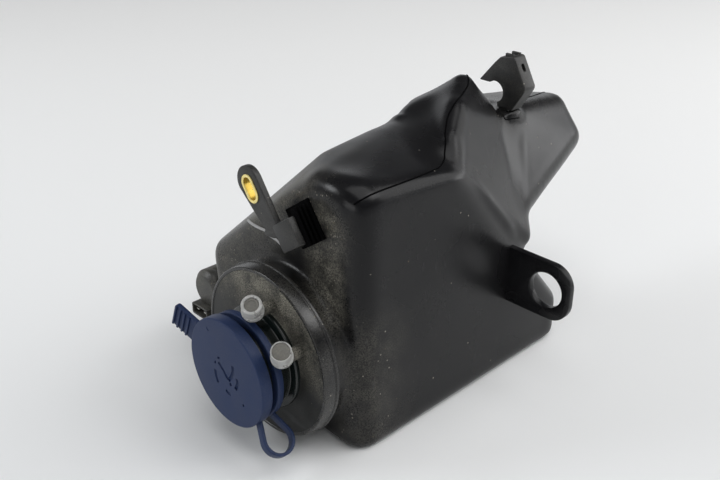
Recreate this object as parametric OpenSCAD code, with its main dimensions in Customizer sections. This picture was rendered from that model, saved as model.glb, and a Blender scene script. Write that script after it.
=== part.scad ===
/* [Tank] */
// length of the tank along the filler axis
tank_l = 177; // [168:1:190]
// width from the flat side to the back
tank_w = 130; // [125:1:138]
// height of the flat top
tank_h = 152; // [146:1:160]
// wall of the blow-moulded shell
wall = 2.5; // [2:0.1:3.2]
// radius of the upright edges and top corners
edge_r = 13; // [11:0.5:15]
// radius of the edges the tank lies on
base_r = 6; // [5:0.5:8]
// height of the hump above the flat top
hump_rise = 22; // [16:1:26]
// how far the side lobe reaches past the tank end
lobe_reach = 64; // [54:1:68]

/* [Mounting lug] */
// distance of the lug from the filler end
lug_x = 121; // [112:1:126]
// height of the lug hole
lug_z = 65.5; // [60:0.5:70]
// reach of the lug from the flat side
lug_reach = 41.5; // [39:0.5:48]
// height of the lug plate
lug_h = 35; // [31:1:40]
// thickness of the lug plate
lug_t = 4.5; // [3.5:0.5:6]
// diameter of the lug hole
lug_hole_d = 21.5; // [16:0.5:23]
// distance of the hole from the flat side
lug_hole_y = 25.5; // [23:0.5:27]

/* [Filler head] */
// centre of the head measured from the flat side
head_y = 53.2; // [52:0.2:56]
// height of the head disc's lowest point
head_lift = 2.2; // [2:0.1:4]
// roll of the head about the filler axis
head_roll = 30; // [25:1:35]
// front face of the head above the filler end
head_out = 19.5; // [18:0.5:21]
// depth of the head rim
head_rim = 8.7; // [8:0.1:9.5]
// offset of the neck from the head centre
neck_off = 2; // [0:0.5:3]
// wall of the neck
neck_wall = 3; // [2.5:0.1:3.5]
// length of the neck in front of the head
neck_l = 21.5; // [20:0.5:24]

/* [Cap] */
// outer radius of the cap
cap_r = 30.6; // [30:0.1:32.4]
// wall of the cap skirt
cap_wall = 2.7; // [2.2:0.1:3.2]
// gap between the cap skirt and the neck
cap_gap = 2.4; // [1.8:0.1:2.8]
// slant of the neck's mouth and of the cap on it, degrees
cap_slant = 0; // [0:0.2:5]
// depth of the cap skirt
cap_skirt = 6.5; // [6:0.5:8]
// thickness of the cap plate
cap_t = 2.6; // [2.2:0.1:3.2]
// length of the grip tab
tab_l = 17; // [12:1:20]
// width of the grip tab
tab_w = 15; // [11:1:17]
// lean of the grip tab
tab_lean = 8; // [5:1:12]
// turn of the grip tab
tab_turn = 8; // [0:1:12]
// reach of the strap loop past the cap
loop_reach = 21; // [20:1:24]
// turn of the strap away from the line of the tab
strap_turn = 14; // [8:1:18]
// width of the strap
strap_w = 5; // [4:0.5:7]
// thickness of the strap
strap_t = 1.8; // [1.4:0.1:2.2]
// thickness of the collar ring
collar_t = 4; // [3:0.5:5]

/* [Hose nipples] */
// bore radius of a nipple
nip_bore_r = 2; // [1.6:0.1:2.4]
// outer radius of a nipple
nip_r = 3.6; // [3.2:0.1:4]
// radius of the circle the nipples stand on
nip_circle_r = 33.8; // [33.5:0.1:35]
// half angle between the nipples
nip_half = 24; // [22:0.5:27]
// height of a nipple elbow above the head face
nip_rise = 11.8; // [11:0.2:13]
// lean of the nipples out of the head face
nip_lean = 24; // [18:1:30]
// length of a nipple from its elbow
nip_l = 11.5; // [11:0.5:14]
// outer radius of a hose sleeve
sleeve_r = 5.3; // [5:0.05:6]
// length of a hose sleeve
sleeve_l = 10; // [9:0.5:11]

/* [Upper bracket] */
// slot centre measured from the flat side
brk_y = 67.9; // [66.5:0.1:69.5]
// depth of the slot centre below the flat top
brk_drop = 14.1; // [13:0.1:15]
// lean of the bracket tab
brk_lean = 35; // [33:1:37]
// width of the bracket tab
brk_w = 17.5; // [16.5:0.5:19]
// thickness of the bracket tab
brk_t = 3.6; // [3:0.2:5]
// length of the slot bushing
slot_l = 14.8; // [13:0.2:17]
// width of the slot bushing
slot_w = 8.6; // [8:0.2:10]
// wall of the slot bushing
slot_wall = 1.2; // [1:0.1:1.6]

/* [Top clip] */
// distance of the clip from the tank end
clip_in = 23; // [21:0.5:25]
// width of the clip
clip_w = 10; // [8:0.5:12]
// height of the clip above its seat
clip_h = 32; // [30:0.5:36]

/* [Pump] */
// radius of the motor barrel
pump_r = 12.5; // [12:0.25:13]
// length of the motor barrel
pump_l = 51; // [46:1:55]
// height of the pump axis
pump_z = 42; // [38:0.5:46]
// radius of the pump inlet tube
inlet_r = 5.5; // [5:0.1:6]
// radius of the pump outlet tube
outlet_r = 4; // [3.5:0.1:4.5]

/* [Hidden] */
$fn = 48;
slack = 0.4;
neck_r = cap_r - cap_wall - cap_gap;
neck_bore_r = neck_r - neck_wall;
head_z = tank_h * 0.33026;
head_r = head_z - head_lift;
lip_w = head_out + neck_l;
cap_top = lip_w + cap_t + 0.9;
collar_w = lip_w - 11;
seat_w = head_out - 5.5;
seal_h = 2;
boss_r = head_r - 3;
lobe_x = tank_l + lobe_reach;
brk_z = tank_h - brk_drop;
clip_x = tank_l - clip_in;
clip_y = tank_w * 0.254;
clip_seat_z = tank_h - 4;
loop_r = 9;
motor_x = 11;
plug_l = 6;
volute_x = motor_x + pump_l;
volute_l = 20;
volute_r = pump_r + 0.3;
imp_r = volute_r - 4;
pump_y = tank_w + volute_r - 1.2;
sump_x = volute_x + volute_l + 4;
inlet_end = sump_x + 16;
sump_r = pump_r + 9;
shaft_r = 1.5;

// moves the corner datum to the middle of the face the tank lies on
module in_part() {
  translate([-tank_l / 2, -tank_w / 2, 0]) children();
}

// frame of the filler head: z out along the filler axis, x toward the nipples
module on_head() {
  in_part()
  translate([0, head_y, head_z])
  rotate([head_roll, 0, 0])
  rotate([0, -90, 0])
  children();
}

// frame of the neck axis
module on_neck() {
  on_head() translate([-neck_off, 0, 0]) children();
}

// frame of the pump: z along the tank from the filler end
module on_pump() {
  in_part()
  translate([0, pump_y, pump_z])
  rotate([0, 90, 0])
  children();
}

// cap frame: on the neck's slanted mouth
module on_mouth() {
  on_neck()
  translate([0, 0, lip_w])
  rotate([0, -cap_slant, 0])
  children();
}

// one rounded corner: outer radius big, edge radius small, inset k
module knob(p, big, small, k) {
  translate(p)
  rotate_extrude($fn = k > 0 ? 16 : 32)
  intersection() {
    translate([big - small, 0]) circle(small - k, $fn = k > 0 ? 16 : 32);
    translate([0, -100]) square([200, 200]);
  }
}

// place at fractions of the tank's length, width and height
function spot(a, b, c) = [tank_l * a, tank_w * b, tank_h * c];

// main chamber with the flat side, the sloping end and the bevelled back
module chamber(k) {
  hull() {
    knob([edge_r, edge_r, base_r], edge_r, base_r, k);
    knob([tank_l - 10, 10, base_r], 10, base_r, k);
    knob([tank_l - 12, tank_w - 16, base_r], 12, base_r, k);
    knob([12, tank_w - 18, base_r], 12, base_r, k);
    knob([edge_r, edge_r, tank_h - edge_r], edge_r, edge_r, k);
    knob([tank_l * 0.39, 8, tank_h - 15], 8, 8, k);
    knob([12, tank_w * 0.277, tank_h - 12], 12, 12, k);
    knob([tank_l * 0.175, tank_w * 0.412, tank_h - 11.5], 10, 10, k);
    knob([tank_l * 0.508, tank_w * 0.454, tank_h - 8], 10, 10, k);
    knob([12, tank_w - 12, tank_h * 0.487], 12, 12, k);
    knob([tank_l * 0.621, tank_w - 12, tank_h * 0.487], 12, 12, k);
    knob([tank_l - 10, 10, tank_h * 0.164], 10, 10, k);
    knob([tank_l - 12, tank_w - 14, tank_h * 0.164], 12, 12, k);
  }
}

// hump rising behind the sloping end
module hump(k) {
  top = hump_rise / 22;
  hull() {
    knob(spot(0.791, 0.085, 0.52), 8, 8, k);
    knob(spot(0.418, 0.069, 0.895), 8, 8, k);
    knob([tank_l * 0.48, tank_w * 0.154, tank_h - 1 * top], 8, 8, k);
    knob([tank_l * 0.582, tank_w * 0.246, tank_h + 8 * top], 8, 8, k);
    knob([tank_l * 0.706, tank_w * 0.362, tank_h + 14 * top], 8, 8, k);
    knob(spot(0.825, 0.315, 0.914), 8, 8, k);
    knob(spot(0.915, 0.277, 0.724), 8, 8, k);
    knob([tank_l * 0.65, tank_w * 0.538, tank_h - 5], 8, 8, k);
    knob(spot(0.847, 0.615, 0.789), 8, 8, k);
    knob(spot(0.565, 0.462, 0.592), 8, 8, k);
  }
}

// side lobe that overhangs the sloping end
module lobe(k) {
  hull() {
    knob(spot(0.938, 0.331, 0.91), 10, 10, k);
    knob([lobe_x - 20, tank_w * 0.408, tank_h * 0.839], 12, 12, k);
    knob([lobe_x - 12, tank_w * 0.354, tank_h * 0.72], 12, 12, k);
    knob([lobe_x - 38, tank_w * 0.323, tank_h * 0.671], 12, 12, k);
    knob(spot(1.034, 0.277, 0.638), 12, 12, k);
    knob(spot(0.813, 0.169, 0.618), 12, 12, k);
    knob(spot(0.927, 0.646, 0.855), 12, 12, k);
    knob([lobe_x - 21, tank_w * 0.646, tank_h * 0.803], 12, 12, k);
    knob([lobe_x - 38, tank_w * 0.6, tank_h * 0.671], 12, 12, k);
    knob(spot(0.678, 0.615, 0.625), 12, 12, k);
  }
}

// sump at the back that the pump plugs into
module sump(k) {
  translate([sump_x + k, pump_y - 4, pump_z])
  rotate([0, 90, 0])
  cylinder(r = sump_r - k, h = tank_l - 16 - sump_x - 2 * k);
}

module shell(k) {
  chamber(k);
  hump(k);
  lobe(k);
  sump(k);
}

// lug plate standing out of the flat side
module lug() {
  c = lug_h * 0.37;
  translate([lug_x - lug_t / 2, 0, lug_z - lug_h / 2]) {
    translate([0, -lug_reach + c, 0]) cube([lug_t, lug_reach - c + wall, lug_h]);
    translate([0, -lug_reach, c]) cube([lug_t, lug_reach, lug_h - 2 * c]);
    for (z = [c, lug_h - c])
      translate([0, -lug_reach + c, z]) rotate([0, 90, 0]) cylinder(r = c, h = lug_t);
  }
}

module tank() color([0.14, 0.14, 0.15]) {
  difference() {
    union() {
      in_part() shell(0);
      in_part() lug();
      on_head() translate([0, 0, -edge_r]) cylinder(r = boss_r, h = edge_r + seat_w);
      in_part() translate([clip_x - 2, clip_y - 1, clip_seat_z - 16]) cube([clip_w + 4, 18, 16]);
    }
    in_part() shell(wall);
    on_neck() translate([0, 0, -edge_r - 8]) cylinder(r = neck_r + 0.1, h = edge_r + seat_w + 9);
    in_part()
    translate([lug_x - lug_t, -lug_hole_y, lug_z])
    rotate([0, 90, 0])
    cylinder(d = lug_hole_d, h = 2 * lug_t);
    on_pump() translate([0, 0, sump_x - 2]) cylinder(r = inlet_r + 3, h = wall + 4);
  }
}

// foot of a nipple on the head face
module on_nipple_foot(side) {
  on_head()
  rotate([0, 0, side * nip_half - 8])
  translate([nip_circle_r, 0, head_out])
  rotate([0, 0, 8 - side * nip_half])
  children();
}

// nipple frame: z along the nipple
module on_nipple(side) {
  on_nipple_foot(side)
  translate([0, 0, nip_rise])
  rotate([0, 90 - nip_lean, 0])
  children();
}

module filler_head() color([0.12, 0.12, 0.13]) {
  difference() {
    union() {
      on_head() translate([0, 0, head_out - head_rim]) cylinder(r1 = head_r + 1.4, r2 = head_r, h = head_rim);
      on_neck() translate([0, 0, -edge_r]) cylinder(r = neck_r, h = edge_r + lip_w + 3);
      on_neck() translate([0, 0, collar_w - 2.5]) cylinder(r = neck_r + 2.5, h = 2.5);
      on_neck() translate([0, 0, head_out - 1]) cylinder(r = neck_r + 4, h = 3);
      for (s = [-1, 1]) {
        on_nipple_foot(s) translate([0, 0, -1]) cylinder(r = nip_r - 0.2, h = nip_rise + 1);
        on_nipple_foot(s) translate([0, 0, nip_rise]) sphere(r = nip_r - 0.2);
        on_nipple(s) cylinder(r = nip_r, h = nip_l);
      }
    }
    difference() {
      on_head() translate([0, 0, -edge_r]) cylinder(r = boss_r + 0.05, h = edge_r + seat_w + seal_h);
      on_neck() translate([0, 0, -edge_r - 1]) cylinder(r = neck_r, h = 60);
    }
    on_neck() translate([0, 0, -edge_r - 1]) cylinder(r = neck_bore_r, h = edge_r + lip_w + 5);
    on_mouth() cylinder(r = cap_r, h = 12);
    for (s = [-1, 1])
      on_nipple(s) cylinder(r = nip_bore_r, h = nip_l + 1);
  }
}

module head_seal() color([0.1, 0.1, 0.1]) {
  on_neck() translate([0, 0, seat_w]) difference() {
    cylinder(r = neck_r + 4, h = seal_h);
    translate([0, 0, -1]) cylinder(r = neck_r, h = seal_h + 2);
  }
}

module cap() color([0.22, 0.29, 0.42]) {
  top = cap_top - lip_w;
  on_mouth() {
    difference() {
      union() {
        translate([0, 0, top - cap_skirt]) cylinder(r = cap_r, h = cap_skirt - 0.8);
        translate([0, 0, top - 0.8]) cylinder(r1 = cap_r, r2 = cap_r - 0.8, h = 0.8);
      }
      translate([0, 0, top - cap_skirt - 1]) cylinder(r = cap_r - cap_wall, h = cap_skirt - cap_t + 1);
    }
    rotate([0, 0, tab_turn])
    translate([0, cap_r - 1.5, top - 4.6])
    rotate([tab_lean, 0, 0]) {
      translate([-tab_w / 2, 0, 0]) cube([tab_w, tab_l + 1.5, 2.6]);
      for (i = [0 : 2])
        translate([-tab_w / 2, tab_l - 9.5 + i * 4.2, 2.4]) cube([tab_w, 1.6, 1.2]);
    }
  }
}

module cap_seal() color([0.08, 0.08, 0.08]) {
  on_mouth() translate([0, 0, cap_top - lip_w - cap_t - 0.5]) difference() {
    cylinder(r = neck_r + 0.6, h = 0.5);
    translate([0, 0, -1]) cylinder(r = neck_bore_r - 0.6, h = 3);
  }
}

// outline of the strap loop, drawn t inside its outer edge
module loop_shape(t) {
  low_w = collar_w + collar_t / 2;
  high_w = cap_top - 3.4;
  hull() {
    translate([-cap_r - loop_reach + loop_r, (low_w + high_w) / 2]) circle(loop_r - t, $fn = 40);
    translate([-cap_r, low_w - strap_t / 2 + t])
    square([t > 0 ? 3 : 2, high_w - low_w + strap_t - 2 * t]);
  }
}

// flexible loop between the cap skirt and the collar
module cap_strap() color([0.22, 0.29, 0.42]) {
  difference() {
    on_neck()
    rotate([0, 0, -strap_turn])
    translate([-strap_w / 2, 0, 0])
    rotate([90, 0, 90])
    linear_extrude(strap_w)
    difference() {
      loop_shape(0);
      loop_shape(strap_t);
    }
    on_neck() cylinder(r = cap_r - 0.8, h = collar_w + collar_t + 1);
    on_mouth() translate([0, 0, -6]) cylinder(r = cap_r + 0.1, h = 30);
  }
}

module cap_collar() color([0.22, 0.29, 0.42]) {
  on_neck() translate([0, 0, collar_w]) difference() {
    cylinder(r = cap_r - 0.8, h = collar_t);
    translate([0, 0, -1]) cylinder(r = neck_r, h = collar_t + 2);
  }
}

module sleeve(side) {
  on_nipple(side) translate([0, 0, nip_l - sleeve_l + 1]) difference() {
    union() {
      cylinder(r = sleeve_r, h = sleeve_l);
      cylinder(r = sleeve_r + 0.5, h = 3);
    }
    translate([0, 0, -1]) cylinder(r = nip_r, h = sleeve_l + 2);
  }
}

module sleeve_upper() color([0.9, 0.9, 0.88]) {
  sleeve(1);
}

module sleeve_lower() color([0.9, 0.9, 0.88]) {
  sleeve(-1);
}

// bracket frame: z along the tab, y across it, x along the filler axis
module on_bracket() {
  in_part()
  translate([-10, brk_y, brk_z])
  rotate([-brk_lean, 0, 0])
  children();
}

// slot as wide as w and as long as l, standing along z
module slot_bar(l, w, t) {
  for (s = [-1, 1])
    translate([-t / 2, 0, s * (l - w) / 2]) rotate([0, 90, 0]) cylinder(d = w, h = t);
  translate([-t / 2, -w / 2, -(l - w) / 2]) cube([t, w, l - w]);
}

module bracket() color([0.15, 0.15, 0.16]) {
  u = brk_w / 17.5;
  difference() {
    on_bracket() {
      translate([-brk_t / 2, -brk_w / 2, -24 * u]) cube([brk_t, brk_w, 27.5 * u]);
      translate([-brk_t / 2, 0, 3.5 * u]) rotate([0, 90, 0]) cylinder(d = brk_w, h = brk_t);
      translate([-brk_t / 2, -14 * u, -28 * u]) cube([brk_t, 16 * u, 6 * u]);
      translate([-4, -23 * u, -37 * u]) cube([14, 15.5 * u, 15 * u]);
      for (x = [0, 2.7, 5.4])
        translate([x, -25.5 * u, -38.5 * u]) cube([1.4, 4 * u, 20 * u]);
      translate([8, -26.5 * u, -38.5 * u]) cube([2, 20 * u, 22 * u]);
    }
    on_bracket() slot_bar(slot_l, slot_w, brk_t + 2);
  }
}

module bracket_bushing() color([0.72, 0.58, 0.25]) {
  on_bracket() difference() {
    slot_bar(slot_l, slot_w, brk_t + 1);
    slot_bar(slot_l - 2 * slot_wall, slot_w - 2 * slot_wall, brk_t + 3);
  }
}

// hooked clip that stands on the top pad
module top_clip() color([0.15, 0.15, 0.16]) {
  u = clip_h / 33;
  in_part() translate([clip_x, clip_y, clip_seat_z]) {
    difference() {
      rotate([90, 0, 90]) linear_extrude(clip_w)
      difference() {
        polygon([[0, 0], [11 * u, 0], [9 * u, 9 * u], [13 * u, 17 * u], [18 * u, 14 * u], [26 * u, 14 * u],
          [15 * u, 27 * u], [11 * u, 31 * u], [u, clip_h], [-9 * u, 15 * u], [-7 * u, 11 * u]]);
        translate([14 * u, 9 * u]) circle(r = 6.5 * u);
      }
      translate([clip_w / 2 - 1.4, -12 * u, 24 * u]) cube([2.8, 12 * u, 4.4 * u]);
    }
    for (x = [1.2, clip_w - 3])
      translate([x, 2.4 * u, 30.5 * u]) cube([1.8, 6 * u, 3.4 * u]);
  }
}

module pump_motor() color([0.13, 0.13, 0.14]) {
  on_pump() difference() {
    translate([0, 0, motor_x]) cylinder(r = pump_r, h = pump_l);
    translate([0, 0, motor_x + 6]) cylinder(r = pump_r - 2, h = pump_l - 10);
    translate([0, 0, motor_x + 3]) cylinder(r = shaft_r + slack, h = pump_l);
  }
}

module pump_cover() color([0.16, 0.16, 0.17]) {
  u = pump_r / 12.5;
  on_pump() difference() {
    union() {
      translate([0, 0, motor_x - 7]) cylinder(r1 = pump_r - 3, r2 = pump_r, h = 3);
      translate([0, 0, motor_x - 4]) cylinder(r = pump_r, h = 4);
      translate([9 * u, -8 * u, motor_x - 6 - plug_l]) cube([8 * u, 16 * u, plug_l + 5]);
    }
    translate([10.2 * u, -6.7 * u, motor_x - 7 - plug_l]) cube([5.6 * u, 13.4 * u, plug_l + 1]);
    for (y = [-3.6, 3.6])
      translate([12.6 * u, y * u - 1.2, motor_x - 4.5 - plug_l]) cube([0.8, 2.4, plug_l + 2]);
  }
}

module pump_terminals() color([0.75, 0.73, 0.68]) {
  u = pump_r / 12.5;
  on_pump()
  for (y = [-3.6, 3.6])
    translate([12.6 * u, y * u - 1.2, motor_x - 4.5 - plug_l]) cube([0.8, 2.4, plug_l + 2]);
}

module pump_volute() color([0.13, 0.13, 0.14]) {
  on_pump() difference() {
    union() {
      translate([0, 0, volute_x]) cylinder(r = volute_r, h = volute_l - 2);
      translate([0, 0, volute_x + volute_l - 2]) cylinder(r1 = volute_r, r2 = volute_r - 2, h = 2);
      translate([0, 0, volute_x + volute_l - 1]) cylinder(r = inlet_r, h = inlet_end - volute_x - volute_l + 1);
      translate([0, volute_r - 6, volute_x + 9]) rotate([0, -90, 0]) cylinder(r = outlet_r + 1.4, h = volute_r + 1);
      translate([0, volute_r - 6, volute_x + 9]) rotate([0, -90, 0]) cylinder(r = outlet_r, h = volute_r + 15);
    }
    translate([0, 0, volute_x + 3]) cylinder(r = volute_r - 3, h = 12);
    translate([0, 0, volute_x - 1]) cylinder(r = shaft_r + slack, h = 6);
    translate([0, 0, volute_x + 10]) cylinder(r = inlet_r - 1.8, h = 60);
    translate([0, volute_r - 6, volute_x + 9]) rotate([0, -90, 0]) cylinder(r = outlet_r - 1.5, h = volute_r + 16);
  }
}

module pump_armature() color([0.55, 0.5, 0.45]) {
  on_pump() {
    translate([0, 0, motor_x + 14]) cylinder(r = pump_r - 5, h = pump_l - 28);
    translate([0, 0, motor_x + 3.5]) cylinder(r = shaft_r, h = pump_l + 5.5);
  }
}

module pump_impeller() color([0.85, 0.85, 0.8]) {
  on_pump() translate([0, 0, volute_x + 6]) difference() {
    union() {
      cylinder(r = imp_r, h = 1.6);
      cylinder(r = 3, h = 6);
      for (a = [0 : 60 : 300])
        rotate([0, 0, a]) translate([2, -0.6, 1]) cube([imp_r - 2.2, 1.2, 5]);
    }
    translate([0, 0, -1]) cylinder(r = shaft_r, h = 4);
  }
}

module pump_grommet() color([0.08, 0.08, 0.08]) {
  on_pump() difference() {
    union() {
      translate([0, 0, sump_x - 2.5]) cylinder(r = inlet_r + 6, h = 2.5);
      translate([0, 0, sump_x - 1]) cylinder(r = inlet_r + 3, h = wall + 2);
      translate([0, 0, sump_x + wall]) cylinder(r1 = inlet_r + 5, r2 = inlet_r + 3, h = 2.5);
    }
    translate([0, 0, sump_x - 5]) cylinder(r = inlet_r, h = 20);
  }
}

module pump_strainer() color([0.8, 0.8, 0.76]) {
  on_pump() difference() {
    translate([0, 0, inlet_end - 4]) cylinder(r = inlet_r + 1.5, h = 14);
    translate([0, 0, inlet_end - 5]) cylinder(r = inlet_r, h = 13.5);
    for (a = [0 : 45 : 315])
      rotate([0, 0, a]) translate([inlet_r - 2, -0.8, inlet_end + 1]) cube([6, 1.6, 6]);
  }
}

tank();
filler_head();
head_seal();
cap();
cap_seal();
cap_strap();
cap_collar();
sleeve_upper();
sleeve_lower();
bracket();
bracket_bushing();
top_clip();
pump_motor();
pump_cover();
pump_terminals();
pump_volute();
pump_armature();
pump_impeller();
pump_grommet();
pump_strainer();
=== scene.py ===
"""Looks of a washer fluid reservoir around its CAD frame. Metres, in the part's own frame."""

from math import cos, hypot, pi, radians, sin, tan

import bmesh
import bpy
import numpy as np
from mathutils import Matrix, Vector
from mathutils.bvhtree import BVHTree


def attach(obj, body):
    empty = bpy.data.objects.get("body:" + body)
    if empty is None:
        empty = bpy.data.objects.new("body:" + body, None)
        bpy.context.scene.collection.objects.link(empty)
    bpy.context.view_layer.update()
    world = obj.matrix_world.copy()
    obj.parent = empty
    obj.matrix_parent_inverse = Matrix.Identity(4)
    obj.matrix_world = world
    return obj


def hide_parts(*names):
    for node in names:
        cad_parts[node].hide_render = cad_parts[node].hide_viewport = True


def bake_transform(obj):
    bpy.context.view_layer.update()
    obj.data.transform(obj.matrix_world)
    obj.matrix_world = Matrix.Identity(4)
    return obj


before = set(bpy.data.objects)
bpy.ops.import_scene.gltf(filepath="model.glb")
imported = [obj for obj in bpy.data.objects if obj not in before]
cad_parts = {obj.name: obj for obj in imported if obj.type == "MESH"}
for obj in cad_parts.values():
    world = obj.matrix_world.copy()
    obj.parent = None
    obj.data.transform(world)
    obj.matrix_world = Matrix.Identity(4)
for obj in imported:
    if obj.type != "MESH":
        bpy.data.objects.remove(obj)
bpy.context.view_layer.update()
MM = 0.001
MERGE, EMPTY_EDGE = 2e-6, 1e-7


# Places that the CAD part is built on, in millimetres
def placed(origin, x_axis, y_axis, z_axis):
    """A frame with its origin in millimetres and three axes."""
    place = Matrix((x_axis, y_axis, z_axis)).transposed().to_4x4()
    place.translation = Vector(origin) * MM
    return place


def shifted(x, y, z):
    return Matrix.Translation((x * MM, y * MM, z * MM))


def turn(degrees, axis):
    return Matrix.Rotation(radians(degrees), 4, axis)


X, Y, Z = Vector((1, 0, 0)), Vector((0, 1, 0)), Vector((0, 0, 1))
ROLL = radians(30)
HEAD = placed((-88.5, -11.8, 50.2), (0, -sin(ROLL), cos(ROLL)), (0, cos(ROLL), sin(ROLL)), -X)
NECK = HEAD @ shifted(-2, 0, 0)
LEAN = radians(35)
BRACKET = placed((-98.5, 2.9, 137.9), X, (0, cos(LEAN), -sin(LEAN)), (0, sin(LEAN), cos(LEAN)))
PUMP = placed((-88.5, 76.6, 42), -Z, Y, X)
CLIP = placed((65.5, -31.98, 148), Y, Z, X)
LUG = placed((32.5, -65, 65.5), Y, Z, X)
FLAT_SIDE = -65.0
LIP = 41.0
MOUTH = NECK @ shifted(0, 0, LIP)


# Outlines and meshes
def fillet(corners, steps=5):
    """Rounds a closed outline whose corners are (x, y, radius)."""
    out = []
    for i, (x, y, r) in enumerate(corners):
        here = Vector((x, y))
        before = Vector(corners[i - 1][:2]) - here
        after = Vector(corners[(i + 1) % len(corners)][:2]) - here
        if r <= 0:
            out.append(here)
            continue
        half = before.angle(after) / 2
        cut = min(r / tan(half), 0.49 * before.length, 0.49 * after.length)
        r = cut * tan(half)
        a, b = before.normalized(), after.normalized()
        centre = here + (a + b).normalized() * (r / sin(half))
        start, end = here + a * cut - centre, here + b * cut - centre
        sweep = start.angle(end)
        if start.x * end.y - start.y * end.x < 0:
            sweep = -sweep
        for k in range(steps + 1):
            c, s = cos(sweep * k / steps), sin(sweep * k / steps)
            out.append(centre + Vector((start.x * c - start.y * s, start.x * s + start.y * c)))
    return out


def circle(r, x, y, steps):
    turns = [2 * pi * k / steps for k in range(steps)]
    return [(x + r * cos(a), y + r * sin(a)) for a in turns]


def oblong(length, width, steps=12):
    """Oblong outline standing along y."""
    r, reach = width / 2, (length - width) / 2
    turns = [pi * k / steps for k in range(steps + 1)]
    upper = [(r * cos(a), reach + r * sin(a)) for a in turns]
    return upper + [(-x, -y) for x, y in upper]


def mesh_of(verts, faces):
    mesh = bpy.data.meshes.new("part")
    mesh.from_pydata([tuple(v) for v in verts], [], faces)
    return mesh


def linked(name, data):
    """A new object in the scene."""
    obj = bpy.data.objects.new(name, data)
    bpy.context.scene.collection.objects.link(obj)
    return obj


def baked(obj):
    """The plain mesh that an object's curve or modifiers make."""
    graph = bpy.context.evaluated_depsgraph_get()
    return bpy.data.meshes.new_from_object(obj.evaluated_get(graph))


def tidied(bm, outwards=True):
    """Merges doubles and drops empty faces; outwards turns the faces outwards too."""
    bmesh.ops.remove_doubles(bm, verts=bm.verts, dist=MERGE)
    bmesh.ops.dissolve_degenerate(bm, edges=bm.edges, dist=EMPTY_EDGE)
    if outwards:
        bmesh.ops.recalc_face_normals(bm, faces=bm.faces)


def ring_faces(a, b, n):
    """Faces between two rings of n points that start at a and b."""
    return [(a + i, b + i, b + (i + 1) % n, a + (i + 1) % n) for i in range(n)]


def turned(outline, place, steps, off_axis=None):
    """Turns a closed outline of (radius, height) about the frame's z axis. off_axis gives a radius' shift along x."""
    verts, faces, n = [], [], len(outline)
    for k in range(steps):
        c, s = cos(2 * pi * k / steps), sin(2 * pi * k / steps)
        for r, h in outline:
            x = off_axis(r) if off_axis else 0.0
            verts.append(place @ Vector(((r * c + x) * MM, r * s * MM, h * MM)))
    for k in range(steps):
        faces += ring_faces(k * n, (k + 1) % steps * n, n)
    return mesh_of(verts, faces)


def moulded(outlines, depth, bevel, place):
    """A flat moulding: outlines are its rim and then its holes, depth its thickness about z = 0, bevel its edge
    radius."""
    curve = bpy.data.curves.new("outline", "CURVE")
    curve.dimensions, curve.fill_mode = "2D", "BOTH"
    curve.extrude, curve.bevel_depth = (depth / 2 - bevel) * MM, bevel * MM
    curve.bevel_resolution, curve.offset = 2, -bevel * MM
    for points in outlines:
        spline = curve.splines.new("POLY")
        spline.points.add(len(points) - 1)
        for point, p in zip(spline.points, points):
            point.co = (p[0] * MM, p[1] * MM, 0, 1)
        spline.use_cyclic_u = True
    obj = linked("outline", curve)
    mesh = baked(obj)
    bpy.data.objects.remove(obj)
    bpy.data.curves.remove(curve)
    mesh.transform(place)
    return mesh


def swept(section, path, across, closed=False):
    """Sweeps a section of (sideways, across) points along a path that lies in one plane, whose normal is across."""
    verts, faces, m, n = [], [], len(path), len(section)
    for i, p in enumerate(path):
        ahead = path[(i + 1) % m] if closed or i < m - 1 else p
        behind = path[i - 1] if closed or i else p
        side = across.cross((ahead - behind).normalized())
        verts += [p + side * a * MM + across * b * MM for a, b in section]
    for i in range(m if closed else m - 1):
        faces += ring_faces(i * n, (i + 1) % m * n, n)
    if not closed:
        faces += [tuple(range(n)), tuple(range((m - 1) * n, m * n))]
    return mesh_of(verts, faces)


def joined(name, meshes, materials, body="tank", replaces=(), sharp=32, keep_normals=False):
    """One finished piece from several meshes, each with its material's index, riding on a body."""
    bm = bmesh.new()
    for mesh, index in meshes:
        known = len(bm.faces)
        bm.from_mesh(mesh)
        bm.faces.ensure_lookup_table()
        for face in bm.faces[known:]:
            face.material_index = index
            face.smooth = True
        bpy.data.meshes.remove(mesh)
    tidied(bm, not keep_normals)
    made = bpy.data.meshes.new(name)
    bm.to_mesh(made)
    bm.free()
    made.set_sharp_from_angle(angle=radians(sharp))
    obj = linked(name, made)
    for material in materials:
        made.materials.append(material)
    if body:
        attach(obj, body)
    if replaces:
        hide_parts(*replaces)
    return obj


def cut(mesh, cutters, solver="EXACT"):
    """Takes closed cutter meshes out of a closed mesh; cut faces get the cutter's own material."""
    obj, tools = linked("cut", mesh), [linked("cutter", cutter) for cutter in cutters]
    for tool in tools:
        modifier = obj.modifiers.new("cut", "BOOLEAN")
        modifier.operation, modifier.object, modifier.solver = "DIFFERENCE", tool, solver
    made = baked(obj)
    for used in [obj] + tools:
        bpy.data.objects.remove(used)
    return made


def edited(mesh, change):
    """The same mesh after a change to its bmesh."""
    bm = bmesh.new()
    bm.from_mesh(mesh)
    change(bm)
    bm.to_mesh(mesh)
    bm.free()
    return mesh


def cleaned(mesh):
    """The same mesh with its doubles merged and its faces turned outwards."""
    return edited(mesh, tidied)


def softened(mesh, width):
    """The same mesh with its edges rounded."""
    def change(bm):
        bmesh.ops.remove_doubles(bm, verts=bm.verts, dist=1e-6)
        bmesh.ops.bevel(bm, geom=bm.edges[:], offset=width * MM, segments=2, profile=0.5, affect="EDGES",
                        clamp_overlap=True)
    return edited(mesh, change)


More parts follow.
